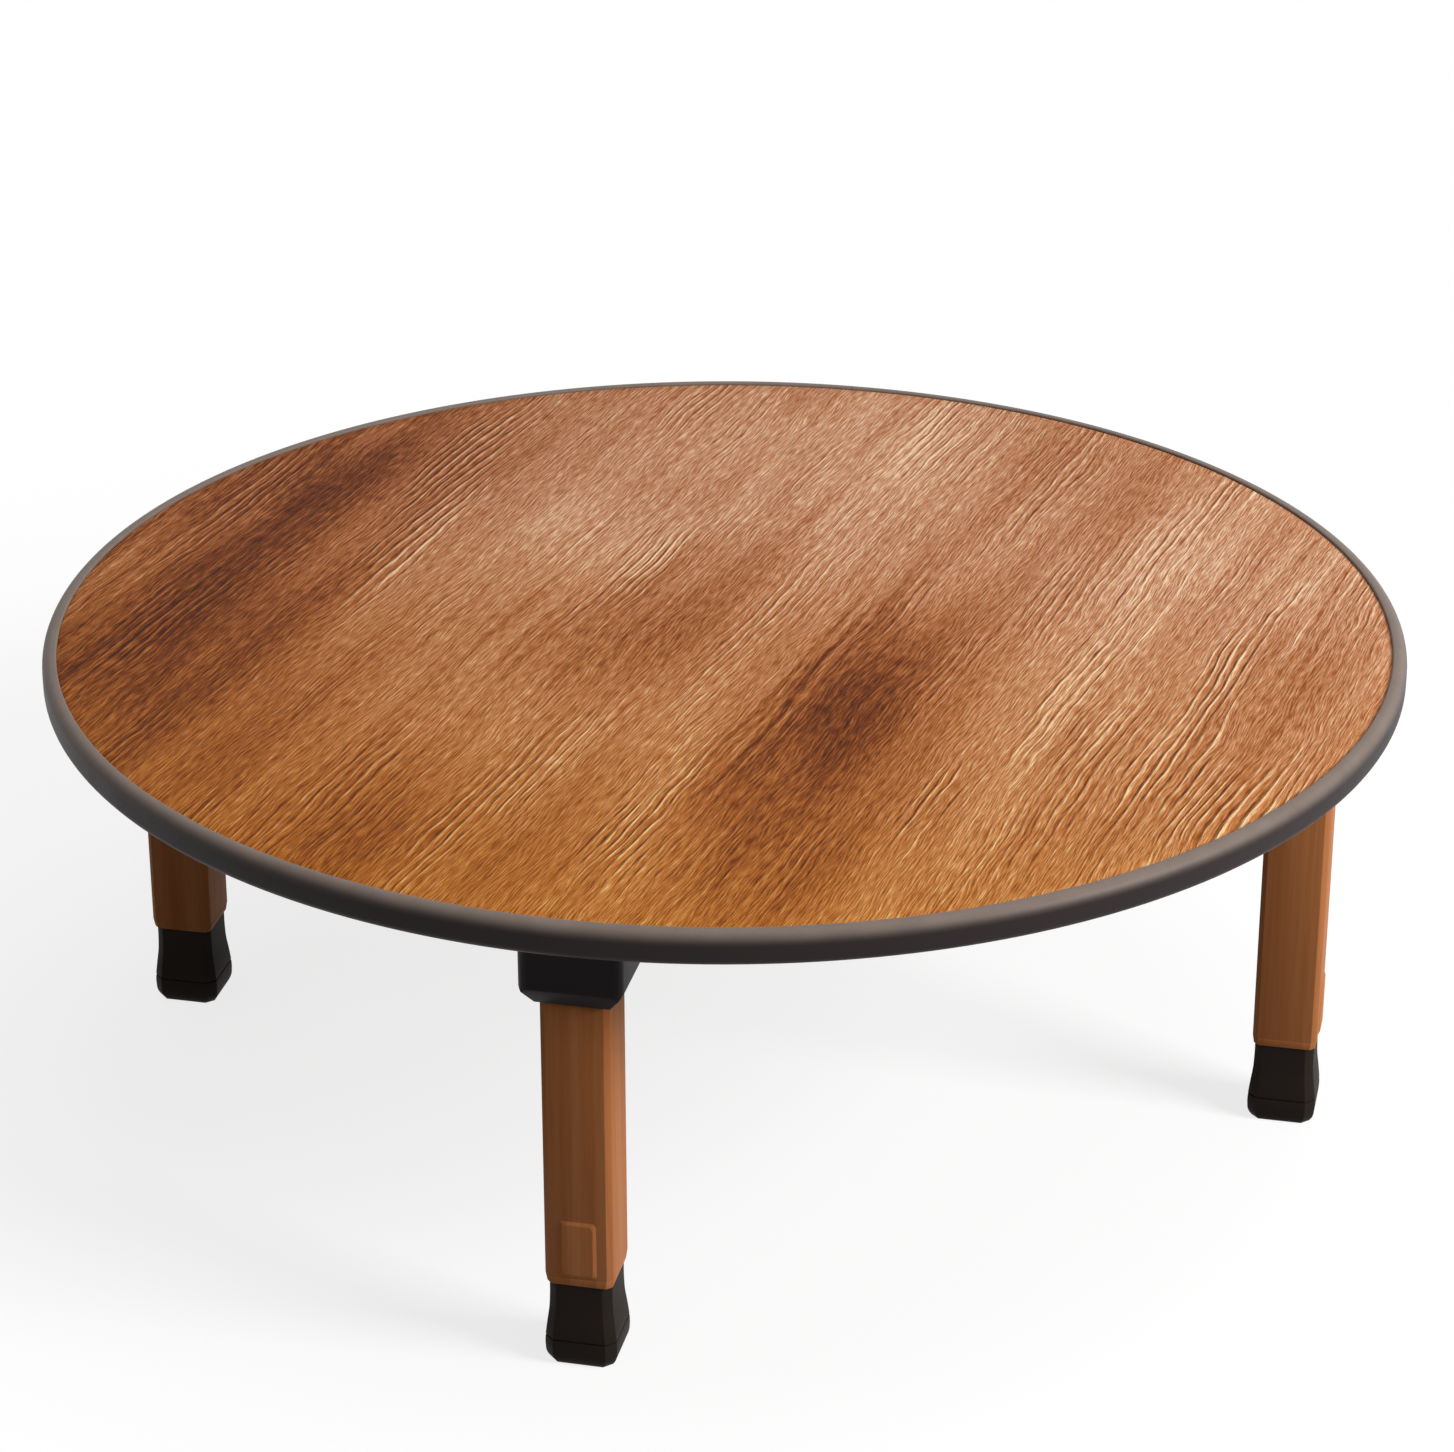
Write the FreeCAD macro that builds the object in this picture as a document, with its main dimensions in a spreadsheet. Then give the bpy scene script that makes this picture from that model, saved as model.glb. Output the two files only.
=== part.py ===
import FreeCAD, Part
import math
import os
import re
import sys

import Sketcher

# Low round folding table: a wood-faced board in a moulded rim, on four legs that fold inwards.
# Row frame: origin on the floor under the middle of the board, +Z up, legs on the four axes.
# Each leg's pieces share a leg frame: origin on the pivot, X outwards, Z up, Y = Z x X.

# Each size: its alias, its value in millimetres, and what it measures
SIZES = (
    ("table_diameter", 800, "across the rim"),
    ("table_height", 290, "floor to the rim's top"),
    ("leg_inset", 55, "rim's outside to a leg's axis"),
    ("rim_proud", 1.5, "rim's top above the wood"),
    ("laminate_thick", 0.8, "wood-grain laminate"),
    ("core_thick", 15, "board's core"),
    ("backing_thick", 0.6, "sheet under the core"),
    ("rim_height", 19.5, "rim, top to bottom"),
    ("rim_lip_width", 8.5, "upper lip, over the core"),
    ("rim_under_width", 8, "lower lip, under the core"),
    ("rim_wall", 4, "rim outside the core"),
    ("rim_top_round", 6, "outer top edge"),
    ("rim_under_round", 5, "outer bottom edge"),
    ("rim_lip_round", 1, "inner edge of the upper lip"),
    ("tongue_length", 8, "rim's tongue in the core's groove"),
    ("tongue_thick", 2.4, "rim's tongue"),
    ("seam_gap", 0.3, "butt joint of the rim at the back"),
    ("board_gap", 0.1, "core to rim, and tongue to groove"),
    ("laminate_gap", 0.2, "laminate to the upper lip"),
    ("head_clear", 6, "tube's head to the bracket's flange"),
    ("sleeve_width", 38, "across a leg's sleeve"),
    ("sleeve_chamfer", 3, "corners of the sleeve"),
    ("sleeve_wall", 4.6, "sleeve"),
    ("sleeve_top_round", 3, "shoulder of the sleeve"),
    ("collar_height", 5.5, "collar under the sleeve"),
    ("collar_foot_width", 36.4, "across the collar's lower edge"),
    ("tube_clear", 0.4, "tube to sleeve, each side"),
    ("tube_wall", 1.2, "steel tube"),
    ("tube_corner", 3.5, "outer corners of the tube"),
    ("foot_height", 50.5, "floor to the collar"),
    ("foot_chamfer", 4.6, "corners of the foot"),
    ("foot_neck_width", 35.1, "across the foot's neck"),
    ("foot_throat_width", 35, "across the foot's throat"),
    ("foot_throat_height", 43, "floor to the throat"),
    ("foot_waist_width", 35.7, "across the foot's waist"),
    ("foot_waist_height", 33, "floor to the waist"),
    ("foot_shoulder_width", 38.5, "across the foot's shoulder"),
    ("foot_shoulder_height", 22.5, "floor to the shoulder"),
    ("foot_flare_width", 40.5, "across the foot's widest part"),
    ("foot_flare_height", 12.5, "floor to the widest part"),
    ("foot_tread_width", 39.6, "across the foot just above the sole"),
    ("foot_tread_height", 4, "floor to that place"),
    ("foot_sole_width", 34.8, "across the sole"),
    ("foot_groove_height", 15.5, "floor to the groove's middle"),
    ("foot_groove_width", 1, "groove round the foot"),
    ("foot_groove_depth", 0.7, "groove round the foot"),
    ("plug_height", 44, "foot's plug in the tube"),
    ("plug_clear", 0.2, "plug to tube, each side"),
    ("foot_screw_rise", 23.5, "collar's foot to the foot screw"),
    ("plate_width", 21, "cover plate"),
    ("plate_height", 35, "cover plate"),
    ("plate_thick", 1.1, "cover plate"),
    ("plate_round", 0.5, "cover plate's edges"),
    ("plate_corner", 2, "cover plate's corners"),
    ("plate_stub_length", 1, "cover plate's stub in the sleeve"),
    ("access_diameter", 9, "hole in the sleeve over the foot screw"),
    ("stub_gap", 0.15, "cover plate's stub to its hole, all round"),
    ("pin_diameter", 8, "pivot pin"),
    ("pin_chamfer", 0.6, "pivot pin's ends"),
    ("press_gap", 0.02, "pin and cap to the bracket, all round"),
    ("running_gap", 0.05, "pin to the tube and spacer, all round"),
    ("pin_end_wall", 2.5, "bracket beyond the pin's blind end"),
    ("pin_end_gap", 0.1, "pin to the blind end and to the cap"),
    ("cap_thick", 2, "cap over the pin"),
    ("spacer_diameter", 12, "nylon spacer on the pin"),
    ("spacer_end_gap", 0.1, "spacer to the tube's walls"),
    ("bracket_side", 9.5, "sleeve's side to the bracket's side"),
    ("bracket_nose", 10, "sleeve's outer face to the bracket's outer face"),
    ("bracket_tail", 14, "sleeve's inner face to the bracket's inner end"),
    ("bracket_drop", 22.4, "pivot to the bracket's bottom"),
    ("bracket_bevel_height", 10.5, "bevel round the bottom"),
    ("bracket_bevel_side", 7.7, "bevel, at the sides"),
    ("bracket_bevel_front", 7, "bevel, at the front"),
    ("bracket_rise_start", 8, "pivot to where the bottom starts to rise"),
    ("bracket_rise", 9, "rise of the bottom to the inner end"),
    ("bracket_wall", 4, "bracket's walls"),
    ("bracket_round", 7, "bracket's outer corners"),
    ("mouth_gap", 0.6, "sleeve to the bracket's mouth, each side"),
    ("stop_gap", 0.3, "tube to its stop"),
    ("sleeve_gap", 0.4, "bracket's bottom to the sleeve"),
    ("boss_margin", 5, "cheek bosses beyond the tube's head"),
    ("boss_gap", 0.4, "tube to each cheek boss"),
    ("flange_thick", 4, "bracket's flange"),
    ("flange_side", 12.5, "flange beyond the bracket's sides"),
    ("flange_nose", 6, "flange beyond the bracket's outer face"),
    ("flange_tail", 8, "flange beyond the bracket's inner end"),
    ("flange_corner", 9, "flange's corners"),
    ("screw_side", 6, "bracket's sides to the screws"),
    ("screw_nose", 4, "bracket's outer face to the outer screws"),
    ("screw_tail", 2, "bracket's inner end to the inner screws"),
    ("screw_diameter", 4, "screws"),
    ("screw_head_diameter", 8, "screws"),
    ("screw_head_height", 2.6, "screws"),
    ("screw_tip", 3, "screws"),
    ("bracket_screw_length", 15, "under the head"),
    ("foot_screw_length", 12, "under the head"),
    ("screw_gap", 0.05, "screw to its hole, all round"),
    ("screw_slot_width", 1.2, "cross recess"),
    ("screw_slot_length", 5, "cross recess"),
    ("screw_slot_depth", 1.4, "cross recess"),
    ("nub_drop", 13, "pivot to the lock's nub"),
    ("nub_diameter", 10, "lock's nub"),
    ("nub_reach", 3.7, "nub beyond the tube"),
    ("nub_gap", 0.2, "nub to its bores, all round"),
    ("spring_width", 12, "lock spring's strip"),
    ("spring_thick", 0.8, "lock spring's strip"),
    ("spring_length", 38, "lock spring's leaves"),
    ("spring_gap", 0.1, "leaf to tube"),
    ("spring_top_gap", 1, "leaf to spacer"),
    ("spring_bend", 11, "inside of the lock spring's bends"),
    ("button_flange_thick", 2, "release button's flange"),
    ("button_diameter", 8, "release button's stem"),
    ("button_gap", 0.3, "button to nub, and to its shoulder"),
    ("button_proud", 0.3, "button beyond the bracket"),
    ("button_round", 0.8, "release button's end"),
    ("detent_diameter", 8, "hollow that holds a folded leg"),
    ("detent_depth", 1.2, "hollow that holds a folded leg"),
    ("overrun", 2, "cuts beyond the faces they break"),
)

# Each leg's name and the way it lies from the middle, in degrees from +X
SIDES = (("front", -90), ("right", 0), ("back", 90), ("left", 180))

# Derived places, as expressions in the sizes
RIM_RADIUS = "(table_diameter / 2)"
CORE_RADIUS = "(table_diameter / 2 - rim_wall - board_gap)"
LIP_RADIUS = "(table_diameter / 2 - rim_lip_width)"
CORE_TOP = "(table_height - rim_proud - laminate_thick)"
CORE_BOTTOM = "(table_height - rim_proud - laminate_thick - core_thick)"
BOARD_BOTTOM = "(table_height - rim_proud - laminate_thick - core_thick - backing_thick)"
LEG_RADIUS = "(table_diameter / 2 - leg_inset)"
TUBE_HALF = "(sleeve_width / 2 - sleeve_wall - tube_clear)"
PIVOT_DROP = f"({TUBE_HALF} + head_clear + flange_thick)"
PIVOT_HEIGHT = f"({BOARD_BOTTOM} - {PIVOT_DROP})"
FLOOR = f"(-{PIVOT_HEIGHT})"
BORE_HALF = f"({TUBE_HALF} - tube_wall)"
SLEEVE_TOP = "(-bracket_drop - sleeve_gap)"
COLLAR_TOP = f"({FLOOR} + foot_height + collar_height)"
FOOT_TOP = f"({FLOOR} + foot_height)"
FOOT_SCREW_HEIGHT = f"({FOOT_TOP} + foot_screw_rise)"
BOSS_FACE = f"({TUBE_HALF} + boss_gap)"
CHEEK = "(sleeve_width / 2 + bracket_side)"
BRACKET_FRONT = "(sleeve_width / 2 + bracket_nose)"
BRACKET_BACK = "(sleeve_width / 2 + bracket_tail)"
BUTTON_FACE = f"({TUBE_HALF} + nub_reach + button_gap)"
BUTTON_SHOULDER = f"({BUTTON_FACE} + button_flange_thick + button_gap)"
FLANGE_BOTTOM = f"({TUBE_HALF} + head_clear)"

doc = FreeCAD.newDocument("FoldingTable")
sheet = doc.addObject("Spreadsheet::Sheet", "Sizes")
parts = []


def fill_sheet():
    for row, (alias, value, note) in enumerate(SIZES, start=1):
        sheet.set(f"A{row}", note)
        sheet.set(f"B{row}", str(value))
        sheet.setAlias(f"B{row}", alias)
    doc.recompute()


def bound(expression):
    """The expression with each alias named as a cell of the sheet."""
    aliases = {alias for alias, value, note in SIZES}

    def as_cell(word):
        return f"Sizes.{word[0]}" if word[0] in aliases else word[0]

    return re.sub(r"[a-z_]+", as_cell, expression)


def number(expression):
    return float(sheet.evalExpression(expression))


def set_size(thing, name, expression):
    thing.setExpression(name, bound(expression))


def add(kind, name, **sizes):
    """A Part primitive with its sizes bound to the sheet."""
    thing = doc.addObject(f"Part::{kind}", name)
    for prop, expression in sizes.items():
        set_size(thing, prop, expression)
    return thing


def move(thing, x="0", y="0", z="0", turn=FreeCAD.Rotation()):
    thing.Placement = FreeCAD.Placement(FreeCAD.Vector(), turn)
    for axis, expression in zip("xyz", (x, y, z)):
        set_size(thing, f"Placement.Base.{axis}", expression)
    return thing


def fuse(name, *things):
    joined = doc.addObject("Part::MultiFuse", name)
    joined.Shapes = things
    return joined


def cut(name, base, tool):
    rest = doc.addObject("Part::Cut", name)
    rest.Base, rest.Tool = base, tool
    return rest


def on_leg(thing, angle):
    """Puts a piece made in the leg frame on its leg."""
    across = math.cos(math.radians(angle))
    along = math.sin(math.radians(angle))
    turn = FreeCAD.Rotation(FreeCAD.Vector(0, 0, 1), angle)
    move(thing, f"{LEG_RADIUS} * {across:.0f}", f"{LEG_RADIUS} * {along:.0f}", PIVOT_HEIGHT, turn)
    parts.append(thing)


def new_body(label):
    body = doc.addObject("PartDesign::Body", label)
    body.Label = label
    return body


def origin_feature(body, role):
    return next(item for item in body.Origin.OriginFeatures if item.Role == role)


def pin_point(sketch, geometry, end, x, y):
    """Holds a point of the sketch at x, y by bound distances from the origin."""
    for kind, axis, expression in (("DistanceX", -2, x), ("DistanceY", -1, y)):
        if number(expression) == 0:
            sketch.addConstraint(Sketcher.Constraint("PointOnObject", geometry, end, axis))
            continue
        held = sketch.addConstraint(Sketcher.Constraint(kind, -1, 1, geometry, end, number(expression)))
        set_size(sketch, f"Constraints[{held}]", expression)


def draw(body, role, height, *loops):
    """A sketch on one of the body's planes: each loop is a list of corners or a circle (x, y, radius)."""
    sketch = body.newObject("Sketcher::SketchObject", f"{body.Name}_sketch")
    sketch.AttachmentSupport = [(origin_feature(body, role), "")]
    sketch.MapMode = "FlatFace"
    set_size(sketch, "AttachmentOffset.Base.z", height)
    for loop in loops:
        if isinstance(loop, tuple):
            x, y, radius = loop
            centre = FreeCAD.Vector(number(x), number(y), 0)
            circle = sketch.addGeometry(Part.Circle(centre, FreeCAD.Vector(0, 0, 1), number(radius)), False)
            pin_point(sketch, circle, 3, x, y)
            held = sketch.addConstraint(Sketcher.Constraint("Radius", circle, number(radius)))
            set_size(sketch, f"Constraints[{held}]", radius)
            continue
        corners = [FreeCAD.Vector(number(x), number(y), 0) for x, y in loop]
        lines = [
            sketch.addGeometry(Part.LineSegment(start, corners[(i + 1) % len(corners)]), False)
            for i, start in enumerate(corners)
        ]
        for i, line in enumerate(lines):
            sketch.addConstraint(Sketcher.Constraint("Coincident", line, 2, lines[(i + 1) % len(lines)], 1))
            pin_point(sketch, line, 1, *loop[i])
    doc.recompute()
    return sketch


def feature(body, kind, name, sketch, length, reverse=False, both=False):
    made = body.newObject(f"PartDesign::{kind}", f"{body.Name}_{name}")
    made.Profile = sketch
    made.Reversed = reverse
    made.Midplane = both
    set_size(made, "Length", length)
    body.Tip = made
    doc.recompute()
    return made


def pad(body, name, sketch, length, **way):
    return feature(body, "Pad", name, sketch, length, **way)


def pocket(body, name, sketch, length, **way):
    before = body.Shape.Volume
    made = feature(body, "Pocket", name, sketch, length, **way)
    if body.Shape.Volume >= before:
        sys.exit(f"{body.Name}: {name} cuts nothing")
    return made


def dress(body, kind, prop, size, wanted):
    """A fillet or chamfer on the edges that a test picks."""
    base = body.Tip
    names = [f"Edge{i}" for i, edge in enumerate(base.Shape.Edges, start=1) if wanted(edge)]
    made = body.newObject(f"PartDesign::{kind}", f"{body.Name}_{kind.lower()}")
    made.Base = (base, names)
    set_size(made, prop, size)
    body.Tip = made
    doc.recompute()
    return made


def near(value, expression):
    return math.isclose(value, number(expression), abs_tol=number("press_gap"))


def level(edge, expression):
    """The edge lies flat at that height."""
    return near(edge.BoundBox.ZMin, expression) and near(edge.BoundBox.ZMax, expression)


def upright(edge):
    box = edge.BoundBox
    return box.ZLength > max(box.XLength, box.YLength) + number("press_gap")


def outwards(edge):
    box = edge.BoundBox
    return box.XLength > box.YLength + box.ZLength


def rectangle(x_low, x_high, y_low, y_high):
    return [(x_low, y_low), (x_high, y_low), (x_high, y_high), (x_low, y_high)]


def square(half):
    return rectangle(f"-{half}", half, f"-{half}", half)


def octagon(width, chamfer):
    """A square with its corners cut, as eight corners."""
    far, short = f"({width} / 2)", f"({width} / 2 - {chamfer})"
    return [
        (far, f"-{short}"), (far, short), (short, far), (f"-{short}", far),
        (f"-{far}", short), (f"-{far}", f"-{short}"), (f"-{short}", f"-{far}"), (short, f"-{far}"),
    ]


def loft(body, name, *sections, ruled=False):
    made = body.newObject("PartDesign::AdditiveLoft", f"{body.Name}_{name}")
    made.Profile, made.Sections, made.Ruled = sections[0], list(sections[1:]), ruled
    body.Tip = made
    doc.recompute()
    return made


def screw_places():
    ends = (f"({BRACKET_FRONT} - screw_nose)", f"-({BRACKET_BACK} - screw_tail)")
    return [(x, f"{sign}({CHEEK} + screw_side)") for x in ends for sign in ("", "-")]


def bracket_screw_holes(body, height, length, reverse):
    """The holes of all four brackets' screws, through a board."""
    circles = [
        (f"({LEG_RADIUS} + {x})", y, "(screw_diameter / 2 + screw_gap)") for x, y in screw_places()
    ]
    holes = pocket(body, "screw_holes", draw(body, "XY_Plane", height, *circles), length, reverse=reverse)
    ring = body.newObject("PartDesign::PolarPattern", f"{body.Name}_round")
    ring.Originals = [holes]
    ring.Axis = (origin_feature(body, "Z_Axis"), [""])
    ring.Angle = 360
    ring.Occurrences = len(SIDES)
    body.Tip = ring
    doc.recompute()


def make_core_board():
    body = new_body("core_board")
    pad(body, "disc", draw(body, "XY_Plane", CORE_BOTTOM, ("0", "0", CORE_RADIUS)), "core_thick")
    middle = f"({CORE_BOTTOM} + core_thick / 2)"
    groove_half = "(tongue_thick / 2 + board_gap)"
    section = rectangle(
        f"({CORE_RADIUS} - tongue_length - board_gap)", f"({CORE_RADIUS} + overrun)",
        f"({middle} - {groove_half})", f"({middle} + {groove_half})",
    )
    groove = body.newObject("PartDesign::Groove", "core_board_groove")
    groove.Profile = draw(body, "XZ_Plane", "0", section)
    groove.ReferenceAxis = (origin_feature(body, "Z_Axis"), [""])
    groove.Angle = 360
    body.Tip = groove
    doc.recompute()
    depth = "(bracket_screw_length - flange_thick - backing_thick + overrun / 2)"
    bracket_screw_holes(body, CORE_BOTTOM, depth, True)
    parts.append(body)


def make_backing_sheet():
    body = new_body("backing_sheet")
    pad(body, "disc", draw(body, "XY_Plane", BOARD_BOTTOM, ("0", "0", CORE_RADIUS)), "backing_thick")
    bracket_screw_holes(body, BOARD_BOTTOM, "backing_thick", True)
    parts.append(body)


def make_top_laminate():
    body = new_body("top_laminate")
    disc = ("0", "0", f"({LIP_RADIUS} - laminate_gap)")
    pad(body, "disc", draw(body, "XY_Plane", CORE_TOP, disc), "laminate_thick")
    parts.append(body)


def make_edge_rim():
    """Moulded strip round the board: two lips, and a tongue in the core's groove."""
    body = new_body("edge_rim_ring")
    bottom = "(table_height - rim_height)"
    inside = f"({RIM_RADIUS} - rim_wall)"
    under = f"({RIM_RADIUS} - rim_under_width)"
    middle = f"({CORE_BOTTOM} + core_thick / 2)"
    tongue = f"({inside} - tongue_length)"
    section = [
        (LIP_RADIUS, CORE_TOP), (LIP_RADIUS, "table_height"), (RIM_RADIUS, "table_height"),
        (RIM_RADIUS, bottom), (under, bottom), (under, BOARD_BOTTOM), (inside, BOARD_BOTTOM),
        (inside, f"({middle} - tongue_thick / 2)"), (tongue, f"({middle} - tongue_thick / 2)"),
        (tongue, f"({middle} + tongue_thick / 2)"), (inside, f"({middle} + tongue_thick / 2)"),
        (inside, CORE_TOP),
    ]
    ring = body.newObject("PartDesign::Revolution", "edge_rim_turn")
    ring.Profile = draw(body, "XZ_Plane", "0", section)
    ring.ReferenceAxis = (origin_feature(body, "Z_Axis"), [""])
    ring.Angle = 360
    body.Tip = ring
    doc.recompute()

    def circle_at(radius, height):
        def wanted(edge):
            return level(edge, height) and near(edge.BoundBox.XMax, radius)
        return wanted

    dress(body, "Fillet", "Radius", "rim_top_round", circle_at(RIM_RADIUS, "table_height"))
    dress(body, "Fillet", "Radius", "rim_under_round", circle_at(RIM_RADIUS, bottom))
    dress(body, "Fillet", "Radius", "rim_lip_round", circle_at(LIP_RADIUS, "table_height"))
    length = "(tongue_length + rim_wall + rim_lip_width + overrun)"
    seam = add("Box", "rim_seam", Length="seam_gap", Width=length, Height="rim_height + 2 * overrun")
    move(seam, "-seam_gap / 2", f"{RIM_RADIUS} + overrun - {length}", f"{bottom} - overrun")
    rim = cut("edge_rim", body, seam)
    rim.Label = "edge_rim"
    parts.append(rim)


def make_bracket(name, angle):
    """Moulded housing under the board: open below and inwards, with a boss in each cheek."""
    body = new_body(f"hinge_bracket_{name}")
    low, bevel_top = "-bracket_drop", "(bracket_bevel_height - bracket_drop)"
    foot_half = f"({CHEEK} - bracket_bevel_side)"
    outline = [
        (f"-{foot_half}", low), (foot_half, low), (CHEEK, bevel_top), (CHEEK, PIVOT_DROP),
        (f"-{CHEEK}", PIVOT_DROP), (f"-{CHEEK}", bevel_top),
    ]
    length = f"{BRACKET_BACK} + {BRACKET_FRONT}"
    pad(body, "block", draw(body, "YZ_Plane", f"-{BRACKET_BACK}", outline), length)
    front = [
        (f"({BRACKET_FRONT} - bracket_bevel_front)", low), (f"({BRACKET_FRONT} + overrun)", low),
        (f"({BRACKET_FRONT} + overrun)", bevel_top), (BRACKET_FRONT, bevel_top),
    ]
    across = f"2 * ({CHEEK} + overrun)"
    pocket(body, "front_bevel", draw(body, "XZ_Plane", "0", front), across, both=True)
    rising = [
        ("bracket_rise_start", low), (f"-{BRACKET_BACK}", low),
        (f"-{BRACKET_BACK}", f"({low} + bracket_rise)"),
    ]
    pocket(body, "rising_bottom", draw(body, "XZ_Plane", "0", rising), across, both=True)

    def outer_corner(edge):
        box = edge.BoundBox
        return upright(edge) and near(box.XMax, BRACKET_FRONT) and near(abs(edge.CenterOfMass.y), CHEEK)

    dress(body, "Fillet", "Radius", "bracket_round", outer_corner)
    flange_half = f"({CHEEK} + flange_side)"
    flange_ends = (f"-({BRACKET_BACK} + flange_tail)", f"({BRACKET_FRONT} + flange_nose)")
    flange = rectangle(*flange_ends, f"-{flange_half}", flange_half)
    pad(body, "flange", draw(body, "XY_Plane", FLANGE_BOTTOM, flange), "flange_thick")

    def flange_corner(edge):
        return upright(edge) and near(abs(edge.CenterOfMass.y), flange_half)

    dress(body, "Fillet", "Radius", "flange_corner", flange_corner)
    inner_half = f"({CHEEK} - bracket_wall)"
    open_end = f"-({BRACKET_BACK} + overrun)"
    chamber = rectangle(open_end, f"({BRACKET_FRONT} - bracket_wall)", f"-{inner_half}", inner_half)
    height = f"({FLANGE_BOTTOM} - {bevel_top})"
    pocket(body, "chamber", draw(body, "XY_Plane", FLANGE_BOTTOM, chamber), height)
    mouth_half = "(sleeve_width / 2 + mouth_gap)"
    mouth = rectangle(open_end, f"({TUBE_HALF} + stop_gap)", f"-{mouth_half}", mouth_half)
    pocket(body, "mouth", draw(body, "XY_Plane", bevel_top, mouth), "bracket_bevel_height + overrun")
    add_bosses(body, inner_half)
    circles = [(x, y, "(screw_diameter / 2 + screw_gap)") for x, y in screw_places()]
    pocket(body, "screw_holes", draw(body, "XY_Plane", PIVOT_DROP, *circles), "flange_thick")
    on_leg(body, angle)


def add_bosses(body, inner_half):
    """The cheek bosses, with the pin's bore and the lock's bores; the lock is in the -Y cheek."""
    depth = f"({inner_half} - {BOSS_FACE})"
    boss = ("0", "0", f"({TUBE_HALF} + boss_margin)")
    pad(body, "lock_boss", draw(body, "XZ_Plane", BOSS_FACE, boss), depth)
    pad(body, "plain_boss", draw(body, "XZ_Plane", f"-{BOSS_FACE}", boss), depth, reverse=True)
    bore = ("0", "0", "(pin_diameter / 2 + press_gap)")
    reach = f"(2 * {CHEEK} - pin_end_wall)"
    pocket(body, "pin_bore", draw(body, "XZ_Plane", CHEEK, bore), reach)
    nub = draw(body, "XZ_Plane", BUTTON_SHOULDER, ("0", "-nub_drop", "(nub_diameter / 2 + nub_gap)"))
    pocket(body, "nub_bore", nub, f"{BUTTON_SHOULDER} - {TUBE_HALF}")
    stem = ("0", "-nub_drop", "(button_diameter / 2 + nub_gap)")
    pocket(body, "button_bore", draw(body, "XZ_Plane", CHEEK, stem), f"{CHEEK} - {TUBE_HALF}")
    dimple = draw(body, "XZ_Plane", f"{BOSS_FACE} + detent_depth", ("-nub_drop", "0", "detent_diameter / 2"))
    pocket(body, "detent", dimple, "detent_depth + boss_gap")


def make_pivot_pin(name, angle):
    body = new_body(f"pivot_pin_{name}")
    start = f"({CHEEK} - cap_thick - pin_end_gap)"
    end = f"({CHEEK} - pin_end_wall - pin_end_gap)"
    disc = draw(body, "XZ_Plane", start, ("0", "0", "pin_diameter / 2"))
    pad(body, "shaft", disc, f"{start} + {end}", reverse=True)
    dress(body, "Chamfer", "Size", "pin_chamfer", lambda edge: edge.Curve.TypeId == "Part::GeomCircle")
    on_leg(body, angle)


def make_pin_cap(name, angle):
    body = new_body(f"pin_cap_{name}")
    disc = draw(body, "XZ_Plane", CHEEK, ("0", "0", "pin_diameter / 2"))
    pad(body, "disc", disc, "cap_thick", reverse=True)
    on_leg(body, angle)


def make_spacer(name, angle):
    body = new_body(f"pivot_spacer_{name}")
    rings = (("0", "0", "spacer_diameter / 2"), ("0", "0", "(pin_diameter / 2 + running_gap)"))
    length = f"2 * ({BORE_HALF} - spacer_end_gap)"
    pad(body, "ring", draw(body, "XZ_Plane", "0", *rings), length, both=True)
    on_leg(body, angle)


def make_leg_tube(name, angle):
    """Square steel tube with two round lugs on the pin."""
    body = new_body(f"leg_tube_{name}")
    pad(body, "tube", draw(body, "XY_Plane", FOOT_TOP, square(TUBE_HALF)), f"-{FOOT_TOP}")
    dress(body, "Fillet", "Radius", "tube_corner", upright)
    bore = draw(body, "XY_Plane", FOOT_TOP, square(BORE_HALF))
    pocket(body, "bore", bore, f"-{FOOT_TOP}", reverse=True)

    def bore_corner(edge):
        return upright(edge) and near(abs(edge.CenterOfMass.x), BORE_HALF)

    dress(body, "Fillet", "Radius", "tube_corner - tube_wall", bore_corner)
    lug = ("0", "0", TUBE_HALF)
    pad(body, "lock_lug", draw(body, "XZ_Plane", BORE_HALF, lug), "tube_wall")
    pad(body, "plain_lug", draw(body, "XZ_Plane", f"-{BORE_HALF}", lug), "tube_wall", reverse=True)
    hole = ("0", "0", "(pin_diameter / 2 + running_gap)")
    pocket(body, "pin_holes", draw(body, "XZ_Plane", "0", hole), f"2 * {TUBE_HALF} + overrun", both=True)
    through_wall = "tube_wall + 2 * overrun"
    nub = ("0", "-nub_drop", "(nub_diameter / 2 + nub_gap)")
    beyond = f"({TUBE_HALF} + overrun)"
    pocket(body, "nub_hole", draw(body, "XZ_Plane", beyond, nub), through_wall)
    screw = ("0", FOOT_SCREW_HEIGHT, "(screw_diameter / 2 + screw_gap)")
    pocket(body, "screw_hole", draw(body, "YZ_Plane", beyond, screw), through_wall)
    on_leg(body, angle)


def make_leg_sleeve(name, angle):
    """Wood-tone sleeve over the tube."""
    body = new_body(f"leg_sleeve_{name}")
    outside = draw(body, "XY_Plane", COLLAR_TOP, octagon("sleeve_width", "sleeve_chamfer"))
    length = f"({SLEEVE_TOP} - {COLLAR_TOP})"
    pad(body, "outside", outside, length)
    dress(body, "Fillet", "Radius", "sleeve_top_round", lambda edge: level(edge, SLEEVE_TOP))
    inside = draw(body, "XY_Plane", COLLAR_TOP, square(f"({TUBE_HALF} + tube_clear)"))
    pocket(body, "inside", inside, f"{length} + overrun", reverse=True)
    hole = ("0", FOOT_SCREW_HEIGHT, "access_diameter / 2")
    pocket(body, "screw_access", draw(body, "YZ_Plane", "sleeve_width / 2", hole), "sleeve_wall")
    on_leg(body, angle)


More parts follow.
